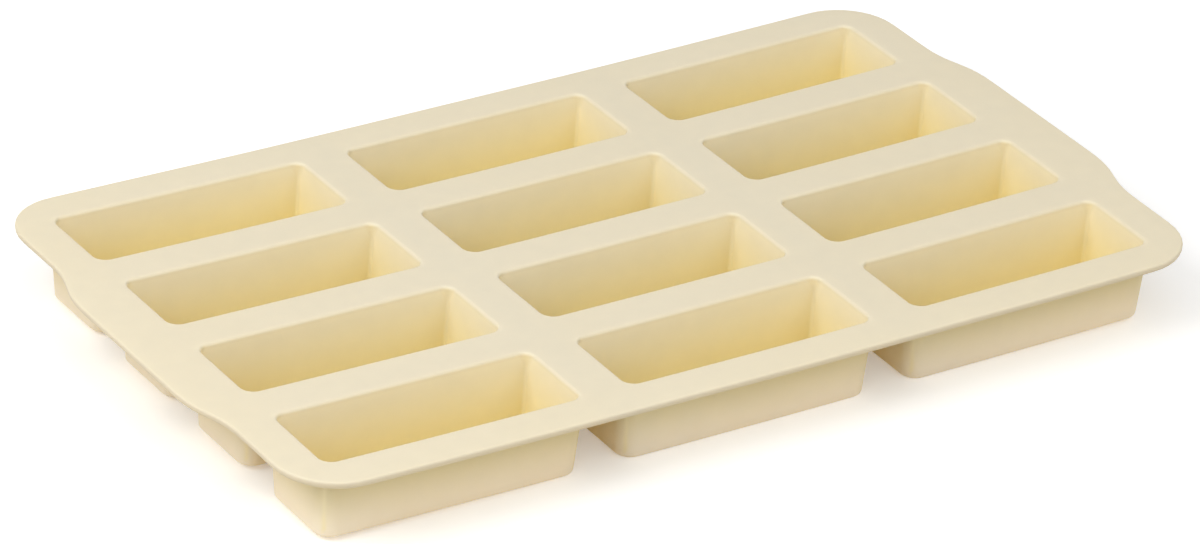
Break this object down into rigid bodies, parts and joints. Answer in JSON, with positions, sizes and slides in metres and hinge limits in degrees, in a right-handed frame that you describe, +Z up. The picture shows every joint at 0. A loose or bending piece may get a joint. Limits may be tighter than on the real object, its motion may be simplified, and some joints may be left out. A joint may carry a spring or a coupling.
{
  "type": "silicone bar mould",
  "caption": "Flexible silicone mould: a flat sheet with a grip tab at each end and a grid of long drafted cavities for baking or casting bars.",
  "frame": {"origin": "under the middle of the mould, on the plane that the cups stand on", "axes": "+Z up out of the cavities, +X along the bars, +Y from the front row of cups to the back row"},
  "size_m": [0.3, 0.1726, 0.0234],
  "materials": {
    "silicone": "matte ivory silicone with a faint silky bloom"
  },
  "bodies": {
    "centre": {"sheet_centre": "silicone", "flex_web_1": "silicone", "flex_web_2": "silicone", "cup_wall_centre_1": "silicone", "cup_wall_centre_2": "silicone", "cup_wall_centre_3": "silicone", "cup_wall_centre_4": "silicone"},
    "left": {"sheet_left": "silicone", "cup_wall_left_1": "silicone", "cup_wall_left_2": "silicone", "cup_wall_left_3": "silicone", "cup_wall_left_4": "silicone"},
    "right": {"sheet_right": "silicone", "cup_wall_right_1": "silicone", "cup_wall_right_2": "silicone", "cup_wall_right_3": "silicone", "cup_wall_right_4": "silicone"},
    "floor_left_1": {"cup_floor_left_1": "silicone"},
    "floor_left_2": {"cup_floor_left_2": "silicone"},
    "floor_left_3": {"cup_floor_left_3": "silicone"},
    "floor_left_4": {"cup_floor_left_4": "silicone"},
    "floor_centre_1": {"cup_floor_centre_1": "silicone"},
    "floor_centre_2": {"cup_floor_centre_2": "silicone"},
    "floor_centre_3": {"cup_floor_centre_3": "silicone"},
    "floor_centre_4": {"cup_floor_centre_4": "silicone"},
    "floor_right_1": {"cup_floor_right_1": "silicone"},
    "floor_right_2": {"cup_floor_right_2": "silicone"},
    "floor_right_3": {"cup_floor_right_3": "silicone"},
    "floor_right_4": {"cup_floor_right_4": "silicone"}
  },
  "joints": [
    {"name": "flex_left", "type": "hinge", "parent": "centre", "child": "left", "pos_m": [-0.0467, 0, 0.02215], "axis": [0, 1, 0], "range_deg": [-34, 90], "stiffness_Nm_per_rad": 0.05, "deforming": ["flex_web_1"]},
    {"name": "flex_right", "type": "hinge", "parent": "centre", "child": "right", "pos_m": [0.0467, 0, 0.02215], "axis": [0, -1, 0], "range_deg": [-34, 90], "stiffness_Nm_per_rad": 0.05, "deforming": ["flex_web_2"]},
    {"name": "push_left_1", "type": "slide", "parent": "left", "child": "floor_left_1", "axis": [0, 0, 1], "range_m": [0, 0.01], "stiffness_N_per_m": 300},
    {"name": "push_left_2", "type": "slide", "parent": "left", "child": "floor_left_2", "axis": [0, 0, 1], "range_m": [0, 0.01], "stiffness_N_per_m": 300},
    {"name": "push_left_3", "type": "slide", "parent": "left", "child": "floor_left_3", "axis": [0, 0, 1], "range_m": [0, 0.01], "stiffness_N_per_m": 300},
    {"name": "push_left_4", "type": "slide", "parent": "left", "child": "floor_left_4", "axis": [0, 0, 1], "range_m": [0, 0.01], "stiffness_N_per_m": 300},
    {"name": "push_centre_1", "type": "slide", "parent": "centre", "child": "floor_centre_1", "axis": [0, 0, 1], "range_m": [0, 0.01], "stiffness_N_per_m": 300},
    {"name": "push_centre_2", "type": "slide", "parent": "centre", "child": "floor_centre_2", "axis": [0, 0, 1], "range_m": [0, 0.01], "stiffness_N_per_m": 300},
    {"name": "push_centre_3", "type": "slide", "parent": "centre", "child": "floor_centre_3", "axis": [0, 0, 1], "range_m": [0, 0.01], "stiffness_N_per_m": 300},
    {"name": "push_centre_4", "type": "slide", "parent": "centre", "child": "floor_centre_4", "axis": [0, 0, 1], "range_m": [0, 0.01], "stiffness_N_per_m": 300},
    {"name": "push_right_1", "type": "slide", "parent": "right", "child": "floor_right_1", "axis": [0, 0, 1], "range_m": [0, 0.01], "stiffness_N_per_m": 300},
    {"name": "push_right_2", "type": "slide", "parent": "right", "child": "floor_right_2", "axis": [0, 0, 1], "range_m": [0, 0.01], "stiffness_N_per_m": 300},
    {"name": "push_right_3", "type": "slide", "parent": "right", "child": "floor_right_3", "axis": [0, 0, 1], "range_m": [0, 0.01], "stiffness_N_per_m": 300},
    {"name": "push_right_4", "type": "slide", "parent": "right", "child": "floor_right_4", "axis": [0, 0, 1], "range_m": [0, 0.01], "stiffness_N_per_m": 300}
  ]
}
